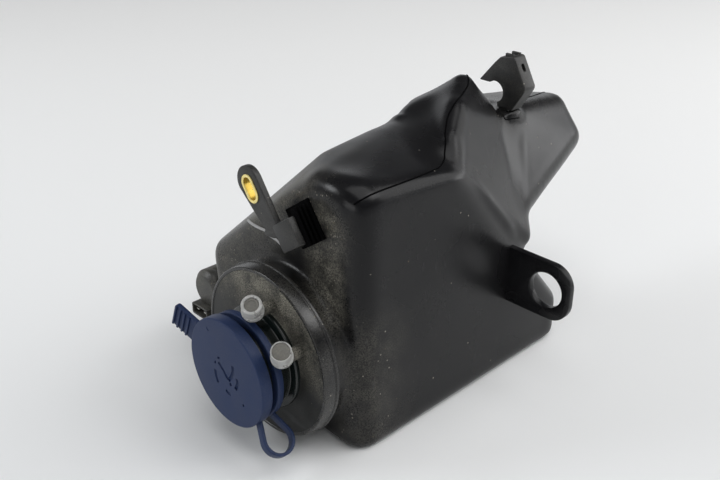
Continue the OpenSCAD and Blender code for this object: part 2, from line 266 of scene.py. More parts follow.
def block(low, high, place, bevel):
    """A block between two corners in a frame, with rounded edges."""
    corners = [(x, y, z) for x in (low[0], high[0]) for y in (low[1], high[1]) for z in (low[2], high[2])]
    faces = [(0, 1, 3, 2), (4, 6, 7, 5), (0, 4, 5, 1), (2, 3, 7, 6), (0, 2, 6, 4), (1, 5, 7, 3)]
    return softened(mesh_of([place @ (Vector(c) * MM) for c in corners], faces), bevel)


def by_material(mesh, materials):
    """Splits a mesh into one mesh for each of its slots, with its material's place in a list of materials."""
    def only(slot):
        def change(bm):
            others = [f for f in bm.faces if f.material_index != slot]
            bmesh.ops.delete(bm, geom=others, context="FACES")
        return change
    return [(edited(mesh.copy(), only(slot)), materials.index(m)) for slot, m in enumerate(mesh.materials)]


# Node helpers
def put(tree, kind, inputs=None, **settings):
    """Adds a node with its settings and returns its outputs; an input is a value or another node's socket."""
    node = tree.nodes.new(kind)
    for key, value in settings.items():
        setattr(node, key, value)
    for key, value in (inputs or {}).items():
        if isinstance(value, bpy.types.NodeSocket):
            tree.links.new(value, node.inputs[key])
        else:
            node.inputs[key].default_value = value
    return node.outputs


def math_node(tree, operation, a, b=0.0, clamp=False):
    return put(tree, "ShaderNodeMath", {0: a, 1: b}, operation=operation, use_clamp=clamp)[0]


def times(tree, a, b, clamp=False):
    return math_node(tree, "MULTIPLY", a, b, clamp)


def noise(tree, where, size, detail, **more):
    """The value of a noise field."""
    return put(tree, "ShaderNodeTexNoise", {"Vector": where, "Scale": size, "Detail": detail, **more})[0]


def along(tree, where, direction):
    """How far a place lies along a direction."""
    return put(tree, "ShaderNodeVectorMath", {0: where, 1: direction}, operation="DOT_PRODUCT")["Value"]


def spread(tree, value, low, high, to_low=0.0, to_high=1.0):
    """Maps a value's span onto another one, held at its ends."""
    return put(tree, "ShaderNodeMapRange", {0: value, 1: low, 2: high, 3: to_low, 4: to_high})[0]


def blend_colour(tree, factor, a, b):
    return put(tree, "ShaderNodeMix", {0: factor, 6: a, 7: b}, data_type="RGBA")[2]


def new_group(name, kind, inputs, outputs):
    """An empty node group with named sockets, each (name, type, value)."""
    tree = bpy.data.node_groups.new(name, kind)
    for label, sort, value in inputs:
        socket = tree.interface.new_socket(label, in_out="INPUT", socket_type="NodeSocket" + sort)
        if value is not None:
            socket.default_value = value
    for label, sort in outputs:
        tree.interface.new_socket(label, in_out="OUTPUT", socket_type="NodeSocket" + sort)
    return tree, tree.nodes.new("NodeGroupInput").outputs, tree.nodes.new("NodeGroupOutput").inputs


def grime_group():
    """Road dust: a patchy film and small stuck specks, both as masks."""
    tree, given, out = new_group(
        "road_grime", "ShaderNodeTree",
        [("Vector", "Vector", None), ("Film", "Float", 0.3), ("Specks", "Float", 0.3), ("Patch Size", "Float", 60.0)],
        [("Film Mask", "Float"), ("Speck Mask", "Float"), ("Speck Tone", "Float")])
    where = given["Vector"]
    patch = spread(tree, noise(tree, where, given["Patch Size"], 7.0, Roughness=0.62), 0.3, 0.72)
    grainy = spread(tree, noise(tree, where, 1300.0, 3.0), 0.36, 0.66, 0.12, 1.0)
    film = times(tree, times(tree, patch, grainy), given["Film"], True)
    tree.links.new(film, out["Film Mask"])
    cells = put(tree, "ShaderNodeTexVoronoi", {"Vector": where, "Scale": 620.0, "Randomness": 1.0})
    tone = put(tree, "ShaderNodeSeparateColor", {0: cells["Color"]})
    dot = spread(tree, cells["Distance"], 0.16, 0.34, 1.0, 0.0)
    often = times(tree, spread(tree, noise(tree, where, 130.0, 4.0), 0.4, 0.68), given["Specks"])
    chosen = math_node(tree, "LESS_THAN", tone[0], often)
    tree.links.new(times(tree, dot, chosen, True), out["Speck Mask"])
    tree.links.new(tone[1], out["Speck Tone"])
    return tree


def skin_group():
    """Moulded plastic skin: a height for its fine grain and a slow change of gloss."""
    tree, given, out = new_group(
        "moulded_skin", "ShaderNodeTree",
        [("Vector", "Vector", None), ("Grain Size", "Float", 1400.0), ("Gloss Patch Size", "Float", 22.0)],
        [("Height", "Float"), ("Gloss Change", "Float")])
    tree.links.new(noise(tree, given["Vector"], given["Grain Size"], 2.0), out["Height"])
    slow = noise(tree, given["Vector"], given["Gloss Patch Size"], 4.0)
    tree.links.new(spread(tree, slow, 0.3, 0.7), out["Gloss Change"])
    return tree


def scratch_group():
    """Thin scratches in two directions, as a mask."""
    tree, given, out = new_group(
        "handling_scratches", "ShaderNodeTree",
        [("Vector", "Vector", None), ("Amount", "Float", 0.5)], [("Mask", "Float")])
    masks = []
    for angle, size in ((0.5, 36.0), (2.1, 52.0)):
        mapped = put(tree, "ShaderNodeMapping", {
            "Vector": given["Vector"], "Scale": (1.0, 0.035, 0.2), "Rotation": (angle, angle * 0.7, angle * 1.3)})
        streak = noise(tree, mapped[0], size * 14, 2.0)
        where = noise(tree, given["Vector"], size, 2.0)
        masks.append(times(tree, spread(tree, streak, 0.66, 0.72), spread(tree, where, 0.5, 0.62)))
    both = math_node(tree, "MAXIMUM", masks[0], masks[1])
    tree.links.new(times(tree, both, given["Amount"], True), out["Mask"])
    return tree


GRIME, SKIN, SCRATCHES = grime_group(), skin_group(), scratch_group()
DUST = (0.27, 0.255, 0.21, 1)
GRIT_DARK, GRIT_PALE = (0.09, 0.075, 0.05, 1), (0.3, 0.28, 0.24, 1)


def grouped(tree, group, inputs):
    return put(tree, "ShaderNodeGroup", inputs, node_tree=group)


def new_material(name):
    """A material with its node tree, its shader's inputs and the place in the piece."""
    material = bpy.data.materials.new(name)
    material.use_nodes = True
    tree = material.node_tree
    return material, tree, tree.nodes["Principled BSDF"].inputs, put(tree, "ShaderNodeTexCoord")["Object"]


def bumped(tree, sockets, height, strength, depth):
    bump = put(tree, "ShaderNodeBump", {"Height": height, "Strength": strength, "Distance": depth})
    tree.links.new(bump[0], sockets["Normal"])


def moulded_plastic(name, dark, pale, rough, gloss=0.5, film=0.0, specks=0.0, scratches=0.0, patch=60.0, grain=0.12,
                    dirt_from=None, dirt_along=None):
    """Moulded plastic: two close tones, grain, road dust, specks and scratches. dirt_from names a mesh
    attribute, dirt_along gives a direction and the two ends, in metres along it, between which the dirt sets in."""
    material, tree, sockets, where = new_material(name)
    sockets["Specular IOR Level"].default_value = gloss
    skin = grouped(tree, SKIN, {"Vector": where})
    amount_film, amount_specks = film, specks
    if dirt_from or dirt_along:
        if dirt_from:
            dirt = put(tree, "ShaderNodeAttribute", attribute_name=dirt_from)["Fac"]
        else:
            axis, low, high = dirt_along
            dirt = spread(tree, along(tree, where, axis), low, high, 0.06, 1.0)
        amount_film, amount_specks = times(tree, dirt, film), times(tree, dirt, specks)
    grime = grouped(tree, GRIME, {"Vector": where, "Film": amount_film, "Specks": amount_specks, "Patch Size": patch})
    marks = grouped(tree, SCRATCHES, {"Vector": where, "Amount": scratches})
    colour = blend_colour(tree, skin["Gloss Change"], dark + (1,), pale + (1,))
    grit = blend_colour(tree, grime["Speck Tone"], GRIT_DARK, GRIT_PALE)
    lighter = tuple(min(1.0, c * 2.2 + 0.03) for c in pale) + (1,)
    for mask, tint in ((grime["Film Mask"], DUST), (grime["Speck Mask"], grit), (marks["Mask"], lighter)):
        colour = blend_colour(tree, mask, colour, tint)
    tree.links.new(colour, sockets["Base Color"])
    base = spread(tree, skin["Gloss Change"], 0.0, 1.0, rough - 0.05, rough + 0.06)
    dull, worn = times(tree, grime["Film Mask"], 0.45), times(tree, grime["Speck Mask"], 0.3)
    tree.links.new(math_node(tree, "ADD", math_node(tree, "ADD", base, dull), worn, True), sockets["Roughness"])
    height = math_node(tree, "ADD", skin["Height"], times(tree, grime["Speck Mask"], 1.5))
    bumped(tree, sockets, height, grain, 0.00025)
    return material


def metal(name, dark, pale, rough, metallic=1.0):
    """Plated metal with fine drawn streaks and a slow change of tone."""
    material, tree, sockets, where = new_material(name)
    sockets["Metallic"].default_value = metallic
    mapped = put(tree, "ShaderNodeMapping", {"Vector": where, "Scale": (0.15, 1.0, 1.0)})
    drawn = noise(tree, mapped[0], 900.0, 3.0)
    skin = grouped(tree, SKIN, {"Vector": where, "Gloss Patch Size": 160.0})
    tree.links.new(blend_colour(tree, skin["Gloss Change"], dark + (1,), pale + (1,)), sockets["Base Color"])
    tree.links.new(spread(tree, drawn, 0.3, 0.7, rough - 0.08, rough + 0.1), sockets["Roughness"])
    bumped(tree, sockets, drawn, 0.08, 0.0001)
    return material


def clear_plastic(name, dark, pale):
    """Milky see-through plastic with grime in it."""
    material, tree, sockets, where = new_material(name)
    sockets["Transmission Weight"].default_value, sockets["IOR"].default_value = 0.55, 1.45
    skin = grouped(tree, SKIN, {"Vector": where, "Gloss Patch Size": 180.0})
    grime = grouped(tree, GRIME, {"Vector": where, "Film": 0.35, "Specks": 0.15, "Patch Size": 220.0})
    colour = blend_colour(tree, skin["Gloss Change"], dark + (1,), pale + (1,))
    colour = blend_colour(tree, grime["Film Mask"], colour, (0.42, 0.38, 0.32, 1))
    tree.links.new(colour, sockets["Base Color"])
    tree.links.new(spread(tree, skin["Gloss Change"], 0, 1, 0.24, 0.36), sockets["Roughness"])
    bumped(tree, sockets, skin["Height"], 0.06, 0.0002)
    return material


SHELL = moulded_plastic(
    "shell_black", (0.0062, 0.0062, 0.0072), (0.0095, 0.0093, 0.0102), 0.26, 0.23, film=1.2, specks=0.5, scratches=0.3,
    patch=75.0, dirt_from="dirt")
# painted highlight: a pale grey for the small raised lines on the filler end, in place of the glints on those ridges,
# with a little dust, grit and scratches on it
LEDGE_HIGHLIGHT = moulded_plastic(
    "shell_painted_highlight", (0.26, 0.26, 0.262), (0.48, 0.48, 0.48), 0.5, film=0.3, specks=0.1, scratches=0.25, patch=200.0)
HEAD_BLACK = moulded_plastic(
    "head_black", (0.0085, 0.009, 0.0095), (0.0125, 0.013, 0.013), 0.4, 0.26, film=1.8, specks=0.4, scratches=0.6,
    patch=95.0, dirt_along=((0.0, -0.3, 0.95), 0.052, 0.09))
RIM_BLACK = moulded_plastic(
    "rim_black", (0.0095, 0.0095, 0.0105), (0.013, 0.013, 0.0135), 0.25, 0.48, film=0.22, specks=0.05, scratches=0.35)
NECK_BLACK = moulded_plastic(
    "neck_black", (0.003, 0.006, 0.006), (0.005, 0.009, 0.009), 0.2, film=0.05, scratches=0.05)
CAP_BLUE = moulded_plastic(
    "cap_blue", (0.0125, 0.0255, 0.076), (0.0165, 0.032, 0.09), 0.45, 0.2, film=0.08, scratches=0.1, grain=0.06)
# painted shade: a much darker blue that the sign's strokes and the pit are cut with, so that the engraved grooves look
# shaded
CAP_GROOVE_SHADE = moulded_plastic("cap_blue_painted_shade", (0.003, 0.004, 0.012), (0.005, 0.006, 0.016), 0.6, 0.2)
BRACKET_BLACK = moulded_plastic(
    "bracket_black", (0.009, 0.009, 0.0095), (0.013, 0.013, 0.0135), 0.42, 0.45, film=0.14, specks=0.03, scratches=0.35)
PUMP_BLACK = moulded_plastic(
    "pump_black", (0.022, 0.022, 0.021), (0.034, 0.034, 0.032), 0.42, film=0.5, specks=0.08, scratches=0.25, patch=90.0)
NIPPLE_GREY = moulded_plastic(
    "nipple_grey", (0.075, 0.074, 0.067), (0.13, 0.124, 0.108), 0.45, film=0.5, specks=0.1, patch=260.0)
RUBBER = moulded_plastic("rubber_black", (0.012, 0.012, 0.012), (0.018, 0.018, 0.018), 0.62, film=0.2)
NYLON = moulded_plastic("nylon_white", (0.55, 0.54, 0.5), (0.66, 0.65, 0.61), 0.4, film=0.1, specks=0.05)
# painted shade: a near-black, almost glossless plastic that turns the seam beads into dark lines and darkens the
# bracket's grooved plates
SHADE_BLACK = moulded_plastic("painted_shade_black", (0.0015, 0.0015, 0.0018), (0.0025, 0.0025, 0.0028), 0.8, 0.03)
CLIP_BLACK = moulded_plastic(
    "clip_black", (0.014, 0.014, 0.0147), (0.02, 0.02, 0.0208), 0.42, 0.42, film=0.16, specks=0.05, scratches=0.35,
    patch=120.0)
PALE_GRIT = moulded_plastic("pale_grit", (0.1, 0.085, 0.06), (0.3, 0.27, 0.22), 0.8)
SLEEVE_CLEAR = clear_plastic("sleeve_clear", (0.62, 0.62, 0.6), (0.84, 0.84, 0.83))
BUSHING = metal("bushing_yellow", (0.7, 0.46, 0.06), (0.86, 0.62, 0.12), 0.32, metallic=0.6)
# painted highlight: the lip is a paler, less metallic copy of the bushing's yellow
BUSHING_LIP_HIGHLIGHT = metal("bushing_lip_highlight", (0.86, 0.68, 0.2), (0.98, 0.85, 0.38), 0.3, metallic=0.25)
TINNED = metal("tinned_blade", (0.42, 0.41, 0.38), (0.6, 0.59, 0.55), 0.32)
STEEL = metal("armature_steel", (0.24, 0.22, 0.2), (0.36, 0.33, 0.3), 0.42)


# Blow-moulded tank
VOXEL = 1.6 * MM
NECK_BORE, PUMP_BORE = 25.6, 8.5
FACET_ROUNDS, VALLEY_REACH, VALLEY_ROUNDS = 180, 15, 420
# Places of the skin that are rounded more: middle in millimetres, reach and rounds
ROUNDED = [((16, 8, 146), 34, 160), ((34, -24, 172), 20, 80), ((-6, -47, 154), 17, 40), ((-82, -57, 147), 15, 30)]
# Places that stand out a little: middle, direction, reach and height
RAISED = [((14, 0, 151), (-0.35, 0.5, 0.79), 13, 5.6), ((-83, -43, 147), (-0.7, 0.0, 0.71), 13, 2.6)]
# Raised edge between the flat side and the hump's slanting face
SLANT_EDGE = [(-1, -60.8, 134), (3.8, -61.5, 127), (13.3, -62.2, 115.4), (25.5, -62.2, 101.7),
              (37.6, -61.9, 87.4)]
EDGE_REACH, EDGE_HEIGHT = 2.6, 0.8
# Heights at which that edge has faded out, and how long each fade is
EDGE_TOP, EDGE_TOP_FADE, EDGE_FOOT, EDGE_FOOT_FADE = 136, 16, 84, 12
SEAT_ROUNDS, LEAST_WALL = 14, 1.7
# Boxes round the clip's seat and round the pump's sump; the head's seat by its radius and depth about the neck
SEAT_BOX, SUMP_BOX = ((60, -37, 128), (81, -11, 160)), ((-15, 40, -1), (90, 110, 80))
BOSS_RADIUS, BOSS_DEPTH = 58, 8
# Hollowness of a crease, in millimetres, where its filling begins, and the span over which it sets in
CREASE, CREASE_SPAN = 0.006, 0.02
# How much of a filling stays where it would draw the skin inwards
DRAWN_IN = 0.2


def on_cylinder(place, radius):
    """Tests whether a point lies on a cylinder about the frame's z axis."""
    inverse = place.inverted()

    def test(p):
        q = inverse @ p
        return abs(hypot(q.x, q.y) - radius * MM) < 0.06 * MM
    return test


def closed_skins():
    """Outer and inner skin of the CAD tank, each closed, with the lug cut off at the flat side."""
    bm = bmesh.new()
    bm.from_mesh(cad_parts["tank"].data)
    bmesh.ops.remove_doubles(bm, verts=bm.verts, dist=MERGE)
    everything = bm.verts[:] + bm.edges[:] + bm.faces[:]
    bmesh.ops.bisect_plane(bm, geom=everything, plane_co=(0, (FLAT_SIDE - 0.02) * MM, 0), plane_no=(0, -1, 0),
                           clear_outer=True)
    tests = [on_cylinder(NECK, NECK_BORE), on_cylinder(PUMP, PUMP_BORE)]
    bores = [f for f in bm.faces if any(all(t(v.co) for v in f.verts) for t in tests)]
    bmesh.ops.delete(bm, geom=bores, context="FACES")
    bmesh.ops.holes_fill(bm, edges=[e for e in bm.edges if e.is_boundary], sides=0)
    seen, islands = set(), []
    for face in bm.faces:
        if face in seen:
            continue
        stack, island = [face], []
        seen.add(face)
        while stack:
            here = stack.pop()
            island.append(here)
            for edge in here.edges:
                for other in edge.link_faces:
                    if other not in seen:
                        seen.add(other)
                        stack.append(other)
        islands.append(island)
    islands.sort(key=lambda fs: min(v.co.z for f in fs for v in f.verts))
    skins = []
    for island in islands[:2]:
        index, verts, faces = {}, [], []
        for face in island:
            for v in face.verts:
                if v not in index:
                    index[v] = len(verts)
                    verts.append(v.co.copy())
            faces.append([index[v] for v in face.verts])
        skins.append(cleaned(mesh_of(verts, faces)))
    bm.free()
    return skins


def remeshed(mesh, voxel):
    obj = linked("skin", mesh)
    modifier = obj.modifiers.new("voxels", "REMESH")
    modifier.mode, modifier.voxel_size = "VOXEL", voxel
    made = baked(obj)
    bpy.data.objects.remove(obj)
    return made


class Relaxer:
    """Pulls points of a mesh towards their neighbours."""

    def __init__(self, mesh):
        self.n = len(mesh.vertices)
        ends = np.zeros(len(mesh.edges) * 2, np.int64)
        mesh.edges.foreach_get("vertices", ends)
        self.a, self.b = ends[0::2], ends[1::2]
        self.degree = np.bincount(self.a, minlength=self.n) + np.bincount(self.b, minlength=self.n)

    def mean(self, value):
        return (np.bincount(self.a, value[self.b], self.n) + np.bincount(self.b, value[self.a], self.n)) / self.degree

    def blurred(self, value, rounds):
        for _ in range(rounds):
            value = self.mean(value)
        return value

    def means(self, points):
        return np.stack([self.mean(points[:, k]) for k in range(3)], 1)

    def relax(self, points, weight, rounds):
        for _ in range(rounds):
            points = points + weight[:, None] * (self.means(points) - points)
        return points

    def even(self, points, rounds):
        """Evens out small unevenness without drawing the form together."""
        every = np.ones(self.n)
        for _ in range(rounds):
            points = self.relax(self.relax(points, 0.5 * every, 1), -0.51 * every, 1)
        return points


def gap_to(points, a, b):
    """How far points lie from a straight line between two ends."""
    a, b = np.array(a, float), np.array(b, float)
    t = np.clip(((points - a) @ (b - a)) / ((b - a) @ (b - a)), 0, 1)
    return np.linalg.norm(points - (a + t[:, None] * (b - a)), axis=1)


def away_from(points, middle):
    """How many millimetres points lie from a place in millimetres."""
    return np.linalg.norm(points / MM - np.array(middle), axis=1)


def in_box(points, low, high):
    return np.all((points > np.array(low) * MM) & (points < np.array(high) * MM), axis=1)


def points_of(mesh):
    points = np.zeros(len(mesh.vertices) * 3)
    mesh.vertices.foreach_get("co", points)
    return points.reshape(-1, 3)


def moved_to(mesh, points):
    """Moves a mesh's points and returns its new normals."""
    mesh.vertices.foreach_set("co", points.ravel())
    mesh.update()
    normals = np.zeros(points.size)
    mesh.vertices.foreach_get("normal", normals)
    return normals.reshape(-1, 3)


def skin_tree(mesh):
    return BVHTree.FromPolygons([v.co[:] for v in mesh.vertices], [p.vertices[:] for p in mesh.polygons])


def outside(points, chosen, skin, least):
    """Keeps chosen points at least this far outside a closed skin."""
    tree = skin_tree(skin)
    for i in np.flatnonzero(chosen):
        hit, normal, _, _ = tree.find_nearest(Vector(points[i]))
        short = least * MM - (Vector(points[i]) - hit).dot(normal)
        if short > 0:
            points[i] += np.array(normal) * short
    return points


def soft_valleys(mesh, inside):
    """Smooths the facets and fills the creases between the tank's forms to soft valleys, outside the inner skin."""
    relaxer = Relaxer(mesh)
    points = relaxer.even(points_of(mesh), FACET_ROUNDS)
    normals = moved_to(mesh, points)
    hollow = relaxer.blurred(np.sum((relaxer.means(points) - points) * normals, axis=1) / MM, 8)
    mask = np.clip((hollow - CREASE) / CREASE_SPAN, 0, 1)
    flat = np.array(NECK.inverted())
    local = points @ flat[:3, :3].T + flat[:3, 3]
    boss = (np.hypot(local[:, 0], local[:, 1]) < BOSS_RADIUS * MM) & (local[:, 2] > -BOSS_DEPTH * MM)
    held = boss | in_box(points, *SUMP_BOX)
    # the seat of the clip is drawn down towards the lobe's own skin
    seat = in_box(points, *SEAT_BOX).astype(float)
    points = relaxer.relax(points, 0.5 * seat, SEAT_ROUNDS)
    touched = seat > 0
    for middle, reach, rounds in ROUNDED:
        near = np.clip(1.2 - away_from(points, middle) / reach, 0, 1)
        points = relaxer.relax(points, 0.5 * near, rounds)
        touched |= near > 0
    points = outside(points, touched, inside, LEAST_WALL)
    normals = moved_to(mesh, points)
    mask[held] = 0
    for _ in range(VALLEY_REACH):
        mask = np.maximum(mask, relaxer.mean(mask) * 0.985)
        mask[held] = 0
    filled = relaxer.relax(points, 0.5 * relaxer.blurred(mask, 6), VALLEY_ROUNDS)
    rise = np.sum((filled - points) * normals, axis=1)
    keep = relaxer.blurred(np.where(rise > 0, 1.0, DRAWN_IN), 6)
    points = points + keep[:, None] * (filled - points)
    for middle, way, reach, height in RAISED:
        near = np.exp(-(away_from(points, middle) / reach) ** 2)
        points = points + near[:, None] * np.array(way) * height * MM
    points = relaxer.relax(points, 0.4 * np.ones(relaxer.n), 3)
    points = relaxer.even(points, 16)
    normals = moved_to(mesh, points)
    gap = np.min([gap_to(points / MM, a, b) for a, b in zip(SLANT_EDGE, SLANT_EDGE[1:])], axis=0)
    z = points[:, 2] / MM
    fade = np.clip((EDGE_TOP - z) / EDGE_TOP_FADE, 0, 1) * np.clip((z - EDGE_FOOT) / EDGE_FOOT_FADE, 0, 1)
    points = points + normals * (EDGE_HEIGHT * MM * fade * np.exp(-(gap / EDGE_REACH) ** 2))[:, None]
    # slow waves of a blown wall
    x, y, z = (points / MM).T
    wave = 0.12 * np.sin(x / 13 + y / 21) + 0.1 * np.sin(z / 15 - x / 27 + 1.3)
    wave = wave + 0.08 * np.sin(y / 11 + z / 19 + 0.4)
    wave = (wave - 0.3) * np.clip((z - 4) / 20, 0, 1)
    normals = moved_to(mesh, points)
    points = points + normals * wave[:, None] * MM
    points[:, 2] = np.maximum(points[:, 2], 0)
    moved_to(mesh, points)
    return mesh


# Where road dirt lies on the tank: line ends in millimetres, reach and strength
DIRT = [((-88, -43, 128), (-88, -42, 70), 9.5, 1.0), ((-88, -12, 136), (-88, 22, 118), 20, 0.85),
        ((-88, -34, 130), (-88, -38, 92), 11, 0.9), ((-72, 6, 148), (-80, 30, 110), 26, 0.35),
        ((-88, 30, 90), (-88, 40, 50), 30, 0.5), ((60, 0, 140), (140, 20, 128), 30, 0.22),
        ((-80, -60, 60), (-80, -60, 10), 20, 0.3)]
LEAST_DIRT = 0.012


def dirt_on(mesh):
    """Writes how dirty each point is to the mesh's dirt attribute."""
    points = points_of(mesh) / MM
    total = np.full(len(points), LEAST_DIRT)
    for a, b, reach, strength in DIRT:
        total = np.maximum(total, strength * np.exp(-(gap_to(points, a, b) / reach) ** 2))
    attribute = mesh.attributes.new("dirt", "FLOAT", "POINT")
    attribute.data.foreach_set("value", total.astype(np.float32))


outer, inner = closed_skins()
shell = soft_valleys(remeshed(outer, VOXEL), inner)
surface = skin_tree(shell)
bore = turned([(0, -24), (NECK_BORE, -24), (NECK_BORE, 22), (0, 22)], NECK, 64)
pump_hole = turned([(0, 80), (PUMP_BORE, 80), (PUMP_BORE, 93), (0, 93)], PUMP, 48)
shell = cut(shell, [inner, cleaned(bore), cleaned(pump_hole)], "MANIFOLD")
lug_rim = fillet([(3, -17.5, 0), (3, 17.5, 0), (-41.5, 17.5, 12.9), (-41.5, -17.5, 12.9)], 14)
lug = moulded([lug_rim, circle(10.75, -25.5, 0.0, 64)], 4.5, 0.7, LUG)
dirt_on(shell)
tank = joined("tank_shell", [(shell, 0), (lug, 0)], [SHELL], replaces=["tank"], sharp=40, keep_normals=True)
tank.data.polygons.foreach_set("use_smooth", [True] * len(tank.data.polygons))


# Geometry node trees
def ended(tree, geometry, material, out):
    """Ends a tree in plain geometry with its material."""
    real = put(tree, "GeometryNodeRealizeInstances", {"Geometry": geometry})
    done = put(tree, "GeometryNodeSetMaterial", {"Geometry": real[0], "Material": material})
    tree.links.new(done[0], out)
    return tree


def bead_tree():
    """A round bead along a line of edges; the line's size attribute scales it."""
    tree, given, out = new_group(
        "bead_along_line", "GeometryNodeTree",
        [("Line", "Geometry", None), ("Radius", "Float", 0.0005), ("Sides", "Int", 8), ("Step", "Float", 0.0015),
         ("Material", "Material", None)], [("Bead", "Geometry")])
    size = put(tree, "GeometryNodeInputNamedAttribute", {"Name": "size"}, data_type="FLOAT")
    curve = put(tree, "GeometryNodeMeshToCurve", {"Mesh": given["Line"]})
    thick = put(tree, "GeometryNodeSetCurveRadius", {"Curve": curve[0], "Radius": size[0]})
    even = put(tree, "GeometryNodeResampleCurve", {"Curve": thick[0], "Length": given["Step"]}, mode="LENGTH")
    ring = put(tree, "GeometryNodeCurvePrimitiveCircle", {"Resolution": given["Sides"], "Radius": given["Radius"]})
    tube = put(tree, "GeometryNodeCurveToMesh", {
        "Curve": even[0], "Profile Curve": ring[0], "Fill Caps": True})
    return ended(tree, tube[0], given["Material"], out["Bead"])


def row_tree():
    """A row of equal bars."""
    tree, given, out = new_group(
        "row_of_bars", "GeometryNodeTree",
        [("Base", "Geometry", None), ("Count", "Int", 3), ("Step", "Vector", (0, 0.004, 0)),
         ("First", "Vector", (0, 0, 0)), ("Bar Size", "Vector", (0.01, 0.0016, 0.0012)),
         ("Material", "Material", None)], [("Bars", "Geometry")])
    line = put(tree, "GeometryNodeMeshLine", {
        "Count": given["Count"], "Start Location": given["First"], "Offset": given["Step"]})
    bar = put(tree, "GeometryNodeMeshCube", {"Size": given["Bar Size"]})
    row = put(tree, "GeometryNodeInstanceOnPoints", {"Points": line[0], "Instance": bar[0]})
    return ended(tree, row[0], given["Material"], out["Bars"])


def grit_tree():
    """Flat grains of grit stuck where the surface is dirty."""
    tree, given, out = new_group(
        "stuck_grit", "GeometryNodeTree",
        [("Surface", "Geometry", None), ("Density", "Float", 20000.0), ("Smallest", "Float", 0.00015),
         ("Largest", "Float", 0.0005), ("Seed", "Int", 7), ("Material", "Material", None)], [("Grit", "Geometry")])
    dirt = put(tree, "GeometryNodeInputNamedAttribute", {"Name": "dirt"}, data_type="FLOAT")
    amount = times(tree, math_node(tree, "POWER", dirt[0], 3.0), given["Density"])
    spots = put(tree, "GeometryNodeDistributePointsOnFaces", {
        "Mesh": given["Surface"], "Density": amount, "Seed": given["Seed"]})
    grain = put(tree, "GeometryNodeMeshIcoSphere", {"Radius": 1.0, "Subdivisions": 1})
    size = put(tree, "FunctionNodeRandomValue", {2: given["Smallest"], 3: given["Largest"], "Seed": given["Seed"]},
               data_type="FLOAT")
    grains = put(tree, "GeometryNodeInstanceOnPoints", {
        "Points": spots["Points"], "Instance": grain[0], "Rotation": spots["Rotation"],
        "Scale": size[1]})
    flat = put(tree, "GeometryNodeScaleInstances", {"Instances": grains[0], "Scale": (1.0, 1.0, 0.4)})
    return ended(tree, flat[0], given["Material"], out["Grit"])


BEAD, ROW, GRIT = bead_tree(), row_tree(), grit_tree()


def grown(tree, source, values):
    """Runs a node tree on a mesh and returns the plain mesh it makes."""
    obj = linked("grown", source)
    modifier = obj.modifiers.new("grow", "NODES")
    modifier.node_group = tree
    for item in tree.interface.items_tree:
        if item.item_type == "SOCKET" and item.in_out == "INPUT" and item.name in values:
            modifier[item.identifier] = values[item.name]
    made = baked(obj)
    bpy.data.objects.remove(obj)
    return made


def line_mesh(points, sizes):
    mesh = bpy.data.meshes.new("line")
    mesh.from_pydata([tuple(p) for p in points], [(i, i + 1) for i in range(len(points) - 1)], [])
    attribute = mesh.attributes.new("size", "FLOAT", "POINT")
    attribute.data.foreach_set("value", sizes)
    return mesh


def smooth_line(points, per_span=8):
    """A smooth line through points, as a list of vectors."""
    p = [Vector(q) for q in points]
    p = [p[0] * 2 - p[1]] + p + [p[-1] * 2 - p[-2]]
    out = []
    for i in range(1, len(p) - 2):
        for k in range(per_span):
            t = k / per_span
            square = 2 * p[i - 1] - 5 * p[i] + 4 * p[i + 1] - p[i + 2]
            cube = 3 * p[i] - p[i - 1] - 3 * p[i + 1] + p[i + 2]
            out.append(0.5 * (2 * p[i] + (p[i + 1] - p[i - 1]) * t + square * t * t + cube * t ** 3))
    return out + [p[-2]]


def on_tank(points, lift):
    """Points laid on the tank's skin, lifted off it by millimetres."""
    hits = [surface.find_nearest(p) for p in points]
    return [hit[0] + hit[1] * lift * MM for hit in hits]


# Parting seam of the mould, and small raised lines on the filler end
SEAM = [(-86, -57.5, 144.6), (-82, -59.7, 147), (-76.6, -60.8, 148.4), (-64.8, -60.4, 148), (-51, -59.8, 147.4),
        (-39, -58.9, 146.8), (-26, -56.9, 145.9), (-18, -53.2, 146), (-15, -51, 148.3), (-11.6, -47.8, 153.4),
        (-6.3, -42.5, 158.3), (1, -38, 162), (7.6, -35.8, 165.5), (17.8, -32.9, 168.6), (32, -27, 171),
        (40, -18, 172), (46, -8, 168), (55, 2, 158), (66, 8, 147)]
LOBE_SEAM = [(74, -20, 147), (90.8, -19, 146), (113, -14, 143), (130, -8, 140), (142, -4, 132), (150, -6, 122)]
LEDGES = [[(-83.7, 29.6, 106), (-87, 20, 107.5), (-88.3, 9.6, 108.6), (-88.5, 0, 109.2)],
          [(-88.5, 4, 107), (-88.5, -1, 106.4), (-88.5, -5, 105)]]


def bead(points, radius, lift):
    """A bead on the tank that runs out thin at both ends."""
    path = on_tank(smooth_line(on_tank([Vector(p) * MM for p in points], lift)), lift)
    n = len(path)
    sizes = [min(1.0, (min(i, n - 1 - i) + 0.6) / 12) for i in range(n)]
    return grown(BEAD, line_mesh(path, sizes), {
        "Radius": radius * MM, "Sides": 10, "Step": 1.2 * MM, "Material": SHELL})


def bars(count, step, first, size, place, material, bevel):
    """A row of equal bars with rounded edges in a frame."""
    sizes = {"Step": step, "First": first, "Bar Size": size}
    values = {name: tuple(v * MM for v in value) for name, value in sizes.items()}
    row = grown(ROW, mesh_of([(0, 0, 0)], []), {"Count": count, "Material": material, **values})
    row.transform(place)
    return softened(row, bevel)


# Outline of the pocket that the clip stands in
POCKET = [(61.5, -31, 148), (61.8, -33, 144.8), (66, -33, 143.2), (73, -33, 142.2)]
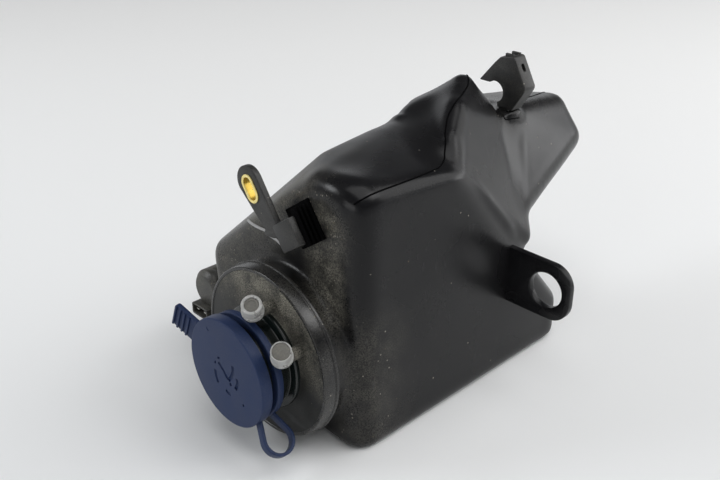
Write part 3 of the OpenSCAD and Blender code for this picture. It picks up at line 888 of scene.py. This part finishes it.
# painted shade and painted highlight: the seams and the pocket's outline are drawn as dark lines, the raised lines on
# the filler end as pale ones
seams = [(bead(SEAM, 0.45, 0.0), 0), (bead(LOBE_SEAM, 0.35, 0.0), 0), (bead(POCKET, 0.3, 0.05), 0)]
seams += [(bead(line, 0.8, 0.1), 1) for line in LEDGES]
joined("parting_seam", seams, [SHADE_BLACK, LEDGE_HIGHLIGHT], sharp=180)

grit = grown(GRIT, tank.data.copy(), {
    "Density": 60000.0, "Smallest": 0.06 * MM, "Largest": 0.22 * MM, "Seed": 11, "Material": PALE_GRIT})
joined("stuck_grit", [(grit, 0)], [PALE_GRIT], sharp=180, keep_normals=True)


# Filler head: disc, neck and two hose nipples
def neck_side(r):
    """Shift of the plate towards the neck, which stands off the disc's middle."""
    return -2.0 * min(1.0, max(0.0, (40 - r) / 10))


plate = fillet([(24, 16, 0), (46.3, 16, 0), (46.3, 19.2, 0.1), (24, 19.2, 0)], 3)
rim = fillet([(45.05, 10.8, 0.3), (49.4, 10.8, 0.5), (49.1, 12.4, 0.2), (48.5, 12.7, 0.1), (48.4, 13.2, 0.1),
              (48.85, 13.6, 0.2), (48, 19.5, 0.7), (46.4, 19.5, 0.2), (46.1, 19.15, 0.1), (45.05, 18.6, 0)], 4)
neck = fillet([(22.5, -13, 0.5), (25.4, -13, 0.5), (25.4, 17, 0), (29.5, 17, 0), (29.5, 21.5, 1.2), (25.5, 22.2, 0.6),
               (25.5, 27.5, 0.3), (28, 27.5, 0.5), (28, 29.9, 0.5), (25.5, 29.9, 0.3), (25.5, LIP, 0.9),
               (22.5, LIP, 0.9)], 4)

# Nipples: bend in degrees, circle of their feet, height where the bend's sides meet, and its start and radius
NIPPLE_BEND, FEET_RADIUS, KNEE, BEND_START, BEND_R = 66, 33.8, 11.8, 8.6, 4.9
NIPPLE_LEAN = radians(90 - NIPPLE_BEND)
NIPPLE_OUT = Vector((cos(NIPPLE_LEAN), 0, sin(NIPPLE_LEAN)))


def nipple_foot(side):
    a = radians(side * 24 - 8)
    return HEAD @ shifted(FEET_RADIUS * cos(a), FEET_RADIUS * sin(a), 19.5)


def nipple_place(side):
    return nipple_foot(side) @ shifted(0, 0, KNEE) @ turn(NIPPLE_BEND, "Y")


# Closed ends of the nipples: a narrow core above, a broad one below
NIPPLE_END = {1: [(0, 3.2, 0), (3.6, 3.2, 0.2), (3.6, 11.9, 0.3), (2.4, 11.9, 0.2), (2.2, 11.6, 0.1), (0, 11.6, 0)],
              -1: [(0, 3.2, 0), (3.6, 3.2, 0.2), (3.6, 11.4, 0), (4.5, 11.4, 0), (4.5, 12.1, 0.2), (0, 12, 0)]}


def nipple(side):
    """Bent stub of a nipple and its closed end."""
    foot = nipple_foot(side)
    line = [Vector((0, 0, -1)), Vector((0, 0, 4)), Vector((0, 0, BEND_START))]
    for k in range(1, 8):
        a = radians(NIPPLE_BEND) * k / 8
        line.append(Vector((BEND_R * (1 - cos(a)), 0, BEND_START + BEND_R * sin(a))))
    line.append(Vector((0, 0, KNEE)) + NIPPLE_OUT * 4.6)
    path = [foot @ (p * MM) for p in line]
    stub = swept(circle(3.4, 0.0, 0.0, 24), path, (foot.to_3x3() @ Y).normalized())
    end = turned(fillet(NIPPLE_END[side], 3), nipple_place(side), 40)
    return [(stub, 0), (end, 2)]


head_parts = [(turned(plate, HEAD, 128, neck_side), 0), (turned(rim, HEAD, 128), 3), (turned(neck, NECK, 112), 1)]
for side in (1, -1):
    head_parts += nipple(side)
joined("filler_head_dressed", head_parts, [HEAD_BLACK, NECK_BLACK, NIPPLE_GREY, RIM_BLACK],
       replaces=["filler_head"])

SLEEVE = [(3.65, 2.5, 0.2), (5.8, 2.5, 0.5), (5.8, 5.3, 0.5), (5.3, 5.9, 0.4), (5.3, 12.5, 0.6)]
SLEEVE_MOUTH = {1: [(3.9, 12.5, 0.4), (3.65, 12, 0.1)], -1: [(4.6, 12.5, 0.3), (4.55, 11.4, 0), (3.65, 11.3, 0)]}
for side, name in ((1, "sleeve_upper"), (-1, "sleeve_lower")):
    sleeve = turned(fillet(SLEEVE + SLEEVE_MOUTH[side], 4), nipple_place(side), 48)
    joined(name + "_clear", [(sleeve, 0)], [SLEEVE_CLEAR], replaces=[name])


# Cap with its grip tab, engraved sign, collar and strap
CAP_FACE = 3.5
cap_side = fillet([(0, 0.9, 0), (27.9, 0.9, 0.4), (27.9, -3, 0.3), (30.6, -3, 0.4), (30.6, CAP_FACE, 0.8),
                   (0, CAP_FACE, 0)], 5)
# Sign of a washer jet: strokes on the cap face, x toward the nipples and y toward the tab
SIGN = [[(-6.2, 7), (-9.4, 4.6), (-11.6, 1.6)], [(0.9, 7), (0.3, 2.7), (-1.4, -3.2)],
        [(10.1, -1.9), (7.1, -3.6), (2.7, -4.1), (-1.6, -3.4)], [(6.1, -7.6), (3.6, -9.5), (-1.2, -9.7)],
        [(-9.3, -4.7), (-9.5, -6.8), (-8.2, -8.4)], [(-2, -5), (-2.6, -6.6)], [(3.2, 7.6), (3.9, 8.6)],
        [(-1.6, 8.4), (-1.8, 9.4)]]
STROKE_RADIUS = 1.05
CAP_MATERIALS = [CAP_BLUE, CAP_GROOVE_SHADE]


def stroke(points):
    """A round bead along a stroke of the sign, which is cut out of the cap."""
    line = smooth_line([MOUTH @ Vector((x * MM, y * MM, CAP_FACE * MM)) for x, y in points], 5)
    return cleaned(grown(BEAD, line_mesh(line, [1.0] * len(line)), {
        "Radius": STROKE_RADIUS * MM, "Sides": 12, "Step": 0.5 * MM, "Material": CAP_GROOVE_SHADE}))


def cap_round(outline, place, steps, material):
    """A turned part of the cap, or a cutter for it, in one material."""
    mesh = cleaned(turned(outline, place, steps))
    mesh.materials.append(material)
    return mesh


# the pit and the sign's strokes bring the dark blue of painted shade into their grooves; the dimple keeps the cap's own
# blue
pit = cap_round([(0, 2.3), (0.8, 2.3), (0.8, 5), (0, 5)], MOUTH @ shifted(-4.1, -18.4, 0), 20, CAP_GROOVE_SHADE)
dimple = cap_round([(0, 3.3), (1.3, 3.3), (1.3, 5), (0, 5)], MOUTH @ shifted(12.3, 21.7, 0), 24, CAP_BLUE)
cap_plate = cut(cap_round(cap_side, MOUTH, 128, CAP_BLUE), [stroke(line) for line in SIGN] + [pit, dimple])
TAB = MOUTH @ turn(8, "Z") @ shifted(0, 29.1, -1.1) @ turn(8, "X")
tab = fillet([(-7.5, 0, 0), (7.5, 0, 0), (7.5, 18.5, 2.2), (-7.5, 18.5, 2.2)], 6)
tab = moulded([tab], 2.6, 0.5, TAB @ shifted(0, 0, 1.3))
ribs = bars(4, (0, 3.4, 0), (0, 7, 2.9), (14.2, 1.3, 1.3), TAB, CAP_BLUE, 0.35)
joined("cap_dressed", by_material(cap_plate, CAP_MATERIALS) + [(tab, 0), (ribs, 0)], CAP_MATERIALS, body="cap",
       replaces=["cap"])
collar = fillet([(25.6, 30, 0), (29.8, 30, 0.5), (29.8, 34, 0.8), (25.6, 34, 0)], 4)
joined("cap_collar_dressed", [(turned(collar, NECK, 112), 0)], [CAP_BLUE], replaces=["cap_collar"])

STRAP = NECK @ turn(-14, "Z")
BIGHT, BIGHT_R = Vector((0, -42.6, 36.55)), 8.1
strap_line = [Vector((0, -29.6, 32.3)), Vector((0, -33, 31.2))]
BIGHT_START, BIGHT_TURN, BIGHT_STEPS = -71.7, -216.6, 28
for k in range(BIGHT_STEPS + 1):
    a = radians(BIGHT_START + BIGHT_TURN * k / BIGHT_STEPS)
    strap_line.append(BIGHT + Vector((0, BIGHT_R * cos(a), BIGHT_R * sin(a))))
strap_line += [Vector((0, -33, 41.9)), Vector((0, -30.4, 41.05))]
strap_path = [STRAP @ (p * MM) for p in strap_line]
strap_section = fillet([(-0.9, -2.5, 0.5), (0.9, -2.5, 0.5), (0.9, 2.5, 0.5), (-0.9, 2.5, 0.5)], 3)
strap_band = swept(strap_section, strap_path, (STRAP.to_3x3() @ X).normalized())
strap = joined("cap_strap_band", [(strap_band, 0)], [CAP_BLUE], body=None, replaces=["cap_strap"])
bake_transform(strap)


# Upper bracket and its oblong bushing
FACING = BRACKET @ Matrix(((0, 0, 1, 0), (1, 0, 0, 0), (0, 1, 0, 0), (0, 0, 0, 1)))
TAB_HALF, TAB_THICK = 8.75, 3.6
top_arc = [(TAB_HALF * cos(pi * k / 20), 3.5 + TAB_HALF * sin(pi * k / 20)) for k in range(21)]
foot_line = fillet([(-TAB_HALF, -21.5, 1), (-14, -21.5, 0.6), (-14, -28, 0.6), (-2, -28, 6), (TAB_HALF, -22, 8)], 6)
SLOT = oblong(14.8, 8.6)
tab_plate = moulded([top_arc + [tuple(p) for p in foot_line], SLOT], TAB_THICK, 0.6, FACING)
grip_block = block((-4, -23, -37), (9.5, -7.5, -22), BRACKET, 0.7)
plates = bars(3, (2.7, 0, 0), (0.7, -23.5, -28.5), (1.4, 4, 20), BRACKET, BRACKET_BLACK, 0.25)
back_plate = block((8, -26.5, -38.5), (10, -6.5, -16.5), BRACKET, 0.5)
# painted shade: the plates and the back plate take the near-black, for the dark grooved side of the grip block
joined("bracket_dressed", [(tab_plate, 0), (grip_block, 0), (plates, 1), (back_plate, 1)],
       [BRACKET_BLACK, SHADE_BLACK], replaces=["bracket"])
ring_path = [FACING @ Vector((x * MM, y * MM, 0)) for x, y in SLOT]
ring_axis = (FACING.to_3x3() @ Z).normalized()
ring_lip = fillet([(1.2, -2.3, 0.3), (-0.4, -2.3, 0.2), (-0.4, -1.85, 0.1), (1.1, -1.85, 0)], 3)
ring_wall = fillet([(1.15, -1.9, 0), (0, -1.9, 0), (0, 2.3, 0.2), (1.15, 2.3, 0.3)], 3)
joined("bushing_ring", [(swept(ring_wall, ring_path, ring_axis, closed=True), 0),
                        (swept(ring_lip, ring_path, ring_axis, closed=True), 1)], [BUSHING, BUSHING_LIP_HIGHLIGHT],
       replaces=["bracket_bushing"])


# Hooked clip on the lobe
CLIP_U = 32 / 33
arch = [(14 + 6.5 * cos(radians(a)), 9 + 6.5 * sin(radians(a))) for a in range(-112, -294, -7)]
clip_foot = [(-7, 11, 1.5), (0, 0, 0.4), (11, 0, 0.4)] + [(x, y, 0) for x, y in arch]
clip_foot += [(18, 14, 0.4), (26, 14, 0.5), (15, 27, 1.5), (11, 31, 2), (1, 33, 2.5), (-9, 15, 3)]
clip_foot = fillet([(x * CLIP_U, y * CLIP_U, r) for x, y, r in clip_foot], 5)
clip = cleaned(moulded([clip_foot], 10, 0.6, CLIP @ shifted(0, 0, 5)))
clip = cut(clip, [block((-12, 23.3, 3.6), (0, 27.5, 6.4), CLIP, 0.9)])
teeth = [block((2.3, 29.6, x), (8.1, 32.6, x + 1.8), CLIP, 0.3) for x in (1.2, 7)]
clip_root = block((3, -5, 0.8), (10.2, 0.8, 9.2), CLIP, 0.4)
joined("top_clip_dressed", [(mesh, 0) for mesh in [clip, clip_root] + teeth], [CLIP_BLACK],
       replaces=["top_clip"])


# Pump
barrel = fillet([(0, 11, 0), (12.5, 11, 0.8), (12.5, 24, 0.2), (12.1, 24.5, 0.2), (12.1, 26, 0.2), (12.5, 26.5, 0.2),
                 (12.5, 62, 0.8), (0, 62, 0)], 4)
joined("pump_barrel", [(turned(barrel, PUMP, 72), 0)], [PUMP_BLACK], replaces=["pump_motor"])
dome = fillet([(0, 4, 0), (9.5, 4, 2.5), (12.5, 7.1, 2), (12.5, 11, 0.3), (0, 11, 0)], 5)
shroud = moulded([fillet([(9, -8, 1.6), (17, -8, 1.6), (17, 8, 1.6), (9, 8, 1.6)], 5),
                  fillet([(10.2, -6.7, 0.8), (15.8, -6.7, 0.8), (15.8, 6.7, 0.8), (10.2, 6.7, 0.8)], 4)], 6.4, 0.4,
                 PUMP @ shifted(0, 0, 2.2))
plug_back = block((9.2, -7.8, 5), (16.8, 7.8, 10), PUMP, 0.8)
joined("pump_cover_dressed", [(turned(dome, PUMP, 72), 0), (shroud, 0), (plug_back, 0)], [PUMP_BLACK],
       replaces=["pump_cover"])

# Pieces that show as their CAD solids
for node, material in (("head_seal", RUBBER), ("cap_seal", RUBBER), ("pump_terminals", TINNED),
                       ("pump_volute", PUMP_BLACK), ("pump_armature", STEEL), ("pump_impeller", NYLON),
                       ("pump_grommet", RUBBER), ("pump_strainer", NYLON)):
    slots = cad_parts[node].data.materials
    slots.clear()
    slots.append(material)


# Camera, floor and light
scene = bpy.context.scene
camera = linked("camera", bpy.data.cameras.new("camera"))
camera.location = Vector((-354.6, -340.4, 324)) * MM
camera.rotation_euler = (radians(63.1), 0, radians(-43.95))
camera.data.lens, camera.data.sensor_width = 46, 36
camera.data.clip_start = 0.01
scene.camera = camera

floor = linked("floor", mesh_of([(-4, -4, 0), (4, -4, 0), (4, 4, 0), (-4, 4, 0)], [(0, 1, 2, 3)]))
floor.location.z = -0.0002
paper, paper_tree, paper_sockets, paper_where = new_material("pale_floor")
paper_sockets["Roughness"].default_value = 0.7
paper_sockets["Specular IOR Level"].default_value = 0.2
# painted light: away from the camera the floor gets paler and glows faintly, fully in view and half as much in
# reflections
paper_axis = along(paper_tree, paper_where, (0.694, 0.72, 0))
paper_tone = blend_colour(paper_tree, spread(paper_tree, paper_axis, -0.35, 0.7), (0.84, 0.85, 0.855, 1),
                          (0.92, 0.92, 0.915, 1))
paper_tree.links.new(paper_tone, paper_sockets["Base Color"])
paper_rays = put(paper_tree, "ShaderNodeLightPath")
paper_seen = math_node(paper_tree, "MAXIMUM", paper_rays["Is Camera Ray"],
                       times(paper_tree, paper_rays["Is Glossy Ray"], 0.5))
paper_glow = times(paper_tree, spread(paper_tree, paper_axis, -0.1, 1.1, 0.0, 0.16), paper_seen)
paper_sockets["Emission Color"].default_value = (1, 1, 0.99, 1)
paper_tree.links.new(paper_glow, paper_sockets["Emission Strength"])
floor.data.materials.append(paper)

# Room: a pale band round the horizon under a dark ceiling
world = bpy.data.worlds.new("room")
scene.world = world
world.use_nodes = True
sky = world.node_tree
looking = put(sky, "ShaderNodeTexCoord")["Generated"]
height = put(sky, "ShaderNodeSeparateXYZ", {0: looking})[2]
low_band = times(sky, spread(sky, height, 0.06, 0.2, 1.0, 0.03),
                 spread(sky, along(sky, looking, (0.8, -0.6, 0)), 0.0, 1.0, 0.36, 0.9))
back_wall = times(sky, spread(sky, height, 0.27, 0.4, 0.8, 0.0),
                  spread(sky, along(sky, looking, (0.6, 0.8, 0)), 0.72, 0.9))
band = math_node(sky, "ADD", math_node(sky, "MAXIMUM", low_band, back_wall), 0.05)
backdrop = sky.nodes["Background"]
backdrop.inputs["Color"].default_value = (0.95, 0.97, 1, 1)
sky.links.new(band, backdrop.inputs["Strength"])


def softbox(name, place, aim, size, power, tint=(1, 1, 1)):
    lamp = bpy.data.lights.new(name, "AREA")
    lamp.shape, lamp.size, lamp.size_y = "RECTANGLE", size[0], size[1]
    lamp.energy, lamp.color = power, tint
    obj = linked(name, lamp)
    obj.location = place
    obj.rotation_euler = (Vector(aim) - Vector(place)).to_track_quat("-Z", "Y").to_euler()


softbox("overhead", (-0.05, -0.65, 2.3), (0.0, 0.0, 0), (2.4, 2.4), 32)
softbox("front_key", (0.42, -0.85, 1.15), (0, 0, 0.1), (0.7, 0.6), 3.2)
softbox("front_right", (1.15, -0.75, 1.0), (0, 0, 0.1), (1.2, 1.1), 8)
softbox("right_card", (1.56, -0.82, 0.33), (0, 0, 0.1), (0.8, 0.5), 3.6)
softbox("left_window", (-1.02, 0.97, 0.9), (-0.05, 0, 0.1), (0.6, 0.5), 8, (0.95, 0.975, 1))
softbox("left_fill", (-1.4, -0.25, 0.36), (-0.05, 0, 0.1), (0.8, 0.45), 2.6)

scene.view_settings.view_transform = "Standard"
